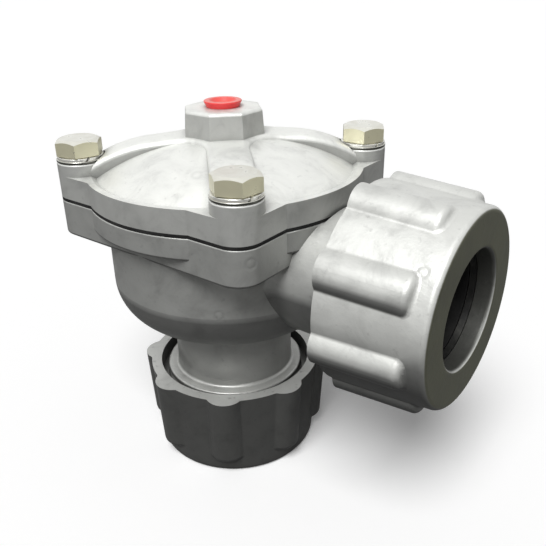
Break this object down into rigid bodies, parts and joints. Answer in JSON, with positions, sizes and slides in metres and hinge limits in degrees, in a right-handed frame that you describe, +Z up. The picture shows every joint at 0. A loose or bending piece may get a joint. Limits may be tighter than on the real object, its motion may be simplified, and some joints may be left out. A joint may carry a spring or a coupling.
{
  "type": "pulse valve",
  "caption": "Right-angle diaphragm pulse valve: a cast bowl with a bolted ribbed bonnet, a plugged pilot port, and a compression nut on each pipe end.",
  "frame": {"origin": "on the upright axis of the valve seat and outlet, where the outlet pipe ends against its stop", "axes": "+Z up the valve axis towards the bonnet; +X out of the side port, so the inlet pipe leaves along +X and the outlet pipe along -Z"},
  "size_m": [0.1322, 0.09, 0.1255],
  "materials": {
    "body_casting": "satin die casting with faint mottling",
    "bonnet_casting": "satin die casting",
    "outlet_nut_casting": "satin die casting, darker",
    "inlet_nut_casting": "satin die casting with a dull end face",
    "diaphragm_rubber": "matte, fabric reinforced",
    "seat_rubber": "matte",
    "seal_rubber": "matte",
    "plate_steel": "pressed, plated",
    "centre_steel": "plated",
    "spring_steel": "drawn wire",
    "ring_steel": "plated",
    "bolt_plating": "yellow passivated zinc",
    "washer_plating": "bright zinc",
    "plug_plastic": "soft moulded plastic"
  },
  "bodies": {
    "valve": {"valve_body": "body_casting", "bonnet": "bonnet_casting", "diaphragm": "diaphragm_rubber", "return_spring": "spring_steel", "cover_bolts": "bolt_plating", "bolt_washers": "washer_plating", "inlet_seal": "seal_rubber", "outlet_seal": "seal_rubber"},
    "lift": {"seat_disc": "seat_rubber", "upper_plate": "plate_steel", "lower_retainer": "plate_steel", "centre_bolt": "centre_steel", "centre_washer": "centre_steel", "centre_nut": "centre_steel"},
    "plug": {"pilot_plug": "plug_plastic"},
    "outlet_ring": {"outlet_slip_ring": "ring_steel"},
    "outlet_nut": {"outlet_nut": "outlet_nut_casting"},
    "inlet_ring": {"inlet_slip_ring": "ring_steel"},
    "inlet_nut": {"inlet_nut": "inlet_nut_casting"}
  },
  "joints": [
    {"name": "diaphragm_lift", "type": "slide", "parent": "valve", "child": "lift", "axis": [0, 0, 1], "range_m": [0, 0.007], "stiffness_N_per_m": 800, "springref_m": -0.012, "deforming": ["diaphragm", "return_spring"]},
    {"name": "plug_pull", "type": "slide", "parent": "valve", "child": "plug", "axis": [0, 0, 1], "range_m": [0, 0.01]},
    {"name": "outlet_ring_slide", "type": "slide", "parent": "valve", "child": "outlet_ring", "axis": [0, 0, -1], "range_m": [0, 0.016]},
    {"name": "outlet_nut_turn", "type": "hinge", "parent": "outlet_ring", "child": "outlet_nut", "pos_m": [0, 0, 0], "axis": [0, 0, -1], "range_deg": [0, 2880]},
    {"name": "inlet_ring_slide", "type": "slide", "parent": "valve", "child": "inlet_ring", "axis": [1, 0, 0], "range_m": [0, 0.016]},
    {"name": "inlet_nut_turn", "type": "hinge", "parent": "inlet_ring", "child": "inlet_nut", "pos_m": [0, 0, 0.0486], "axis": [1, 0, 0], "range_deg": [0, 2880]}
  ],
  "couplings": [
    {"joint": "outlet_ring_slide", "follows": "outlet_nut_turn", "m_per_rad": 0.0003183},
    {"joint": "inlet_ring_slide", "follows": "inlet_nut_turn", "m_per_rad": 0.0003183}
  ]
}
